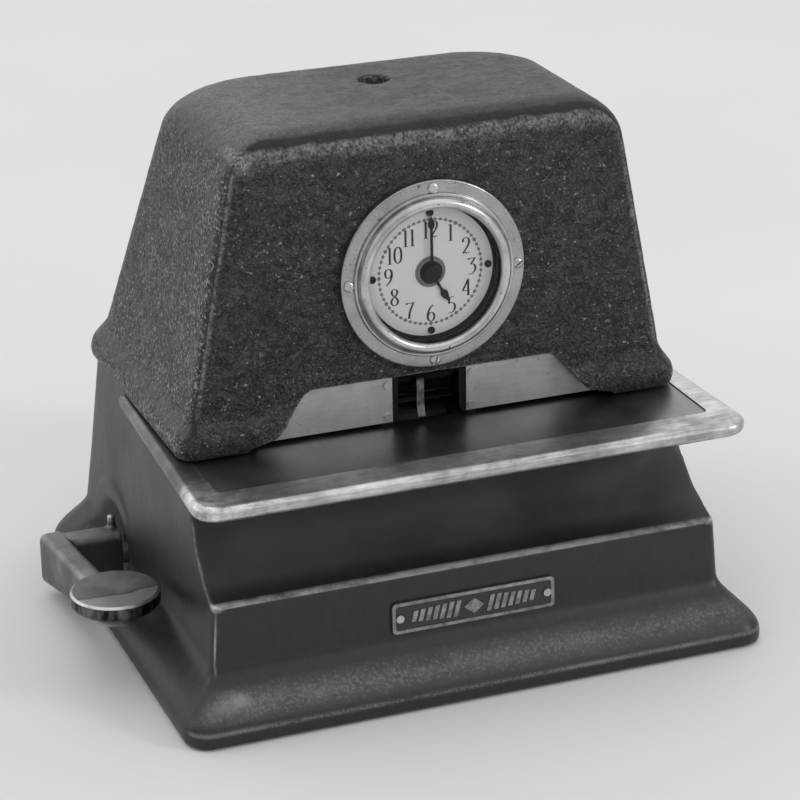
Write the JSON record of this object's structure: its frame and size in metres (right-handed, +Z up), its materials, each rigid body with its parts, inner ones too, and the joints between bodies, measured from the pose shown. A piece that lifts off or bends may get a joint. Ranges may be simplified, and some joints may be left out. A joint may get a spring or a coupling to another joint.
{
  "type": "punch time clock",
  "caption": "Desk time stamp clock: cast base with side lever, plated card table and a lift-off cast head with a round clock dial over a printing throat.",
  "frame": {"origin": "centre of the four fixing holes, on the surface that the rubber feet stand on", "axes": "+X to the operator's right, -Y towards the operator, +Z up, out of the feet's standing face"},
  "size_m": [0.2801, 0.2271, 0.23],
  "materials": {
    "black_wrinkle_enamel": "black wrinkle enamel on cast iron",
    "nickel_plate": "worn nickel plate",
    "dark_polished_steel": "dark polished",
    "machined_steel": "machined",
    "plated_screws": "plated",
    "black_metal": "black enamel",
    "dial_white": "white enamel",
    "crystal_glass": "clear",
    "black_rubber": "matte",
    "brass": "turned",
    "black_plastic": "matte",
    "inked_fabric": "inked cotton"
  },
  "bodies": {
    "frame": {"base_casting": "black_wrinkle_enamel", "floor_plate": "machined_steel", "rubber_feet": "black_rubber", "floor_plate_screws": "plated_screws", "nameplate": "black_metal", "nameplate_pins": "plated_screws", "table_tray": "nickel_plate", "table_screws": "plated_screws", "table_inlay": "dark_polished_steel", "left_frame_plate": "machined_steel", "right_frame_plate": "machined_steel", "frame_spacers": "machined_steel", "type_shaft": "machined_steel", "spool_brackets": "machined_steel", "ink_ribbon": "inked_fabric", "left_guard_plate": "nickel_plate", "right_guard_plate": "nickel_plate", "left_throat_cheek": "black_metal", "right_throat_cheek": "black_metal", "guard_plate_screws": "plated_screws", "paper_guide": "plated_screws", "latch_post": "machined_steel", "left_bushing": "brass", "shaft_bracket": "machined_steel", "return_spring": "machined_steel", "hammer_bracket": "machined_steel", "hammer_pivot_pin": "machined_steel", "cord_bushing": "black_rubber"},
    "cover": {"head_casing": "black_wrinkle_enamel", "bezel": "nickel_plate", "bezel_screws": "plated_screws", "crystal": "crystal_glass", "crystal_ring": "plated_screws", "dial_plate": "dial_white", "dial_screws": "black_metal", "dial_carrier": "machined_steel", "bracket_screws": "plated_screws", "movement_case": "machined_steel", "motor_can": "machined_steel", "lock_housing": "brass"},
    "lock": {"lock_barrel": "brass", "lock_cam": "machined_steel"},
    "hour_hand": {"hour_hand": "black_metal", "hour_pipe": "brass"},
    "minute_hand": {"minute_hand": "black_metal", "minute_arbor": "brass", "hand_nut": "black_metal"},
    "lever": {"lever": "nickel_plate", "thumb_pad": "nickel_plate", "lever_shaft": "machined_steel", "crank_arm": "machined_steel", "crank_roller": "machined_steel"},
    "hammer": {"hammer_arm": "machined_steel", "platen_pad": "black_rubber"},
    "minute_wheel": {"minute_type_wheel": "brass"},
    "hour_wheel": {"hour_type_wheel": "brass"},
    "day_wheel": {"day_type_wheel": "brass"},
    "month_wheel": {"month_type_wheel": "brass"},
    "left_spool": {"left_ribbon_spool": "black_plastic"},
    "right_spool": {"right_ribbon_spool": "black_plastic"}
  },
  "joints": [
    {"name": "lever_press", "type": "hinge", "parent": "frame", "child": "lever", "pos_m": [0, 0.05, 0.016], "axis": [1, 0, 0], "range_deg": [0, 8], "stiffness_Nm_per_rad": 0.6, "springref_deg": -17.19},
    {"name": "hammer_swing", "type": "hinge", "parent": "frame", "child": "hammer", "pos_m": [0, 0.02, 0.078], "axis": [1, 0, 0], "range_deg": [-5.4, 0]},
    {"name": "cover_lift", "type": "slide", "parent": "frame", "child": "cover", "axis": [0, 0, 1], "range_m": [0, 0.14]},
    {"name": "lock_turn", "type": "hinge", "parent": "cover", "child": "lock", "pos_m": [0, 0.01, 0.21], "axis": [0, 0, -1], "range_deg": [0, 90]},
    {"name": "minute_hand_turn", "type": "hinge", "parent": "cover", "child": "minute_hand", "pos_m": [0, -0.054, 0.165], "axis": [0, 1, 0], "continuous": true},
    {"name": "hour_hand_turn", "type": "hinge", "parent": "cover", "child": "hour_hand", "pos_m": [0, -0.053, 0.165], "axis": [0, 1, 0], "continuous": true},
    {"name": "minute_wheel_turn", "type": "hinge", "parent": "frame", "child": "minute_wheel", "pos_m": [0, -0.033, 0.1185], "axis": [1, 0, 0], "continuous": true},
    {"name": "hour_wheel_turn", "type": "hinge", "parent": "frame", "child": "hour_wheel", "pos_m": [0, -0.033, 0.1185], "axis": [1, 0, 0], "continuous": true},
    {"name": "day_wheel_turn", "type": "hinge", "parent": "frame", "child": "day_wheel", "pos_m": [0, -0.033, 0.1185], "axis": [1, 0, 0], "continuous": true},
    {"name": "month_wheel_turn", "type": "hinge", "parent": "frame", "child": "month_wheel", "pos_m": [0, -0.033, 0.1185], "axis": [1, 0, 0], "continuous": true},
    {"name": "left_spool_turn", "type": "hinge", "parent": "frame", "child": "left_spool", "pos_m": [-0.042, -0.033, 0.1185], "axis": [0, 1, 0], "continuous": true},
    {"name": "right_spool_turn", "type": "hinge", "parent": "frame", "child": "right_spool", "pos_m": [0.042, -0.033, 0.1185], "axis": [0, 1, 0], "continuous": true}
  ],
  "couplings": [
    {"joint": "hammer_swing", "follows": "lever_press", "ratio": -0.675},
    {"joint": "minute_hand_turn", "follows": "minute_wheel_turn", "ratio": 1},
    {"joint": "hour_hand_turn", "follows": "minute_wheel_turn", "ratio": 0.083333},
    {"joint": "hour_wheel_turn", "follows": "minute_wheel_turn", "ratio": 0.041667},
    {"joint": "right_spool_turn", "follows": "left_spool_turn", "ratio": 1}
  ]
}
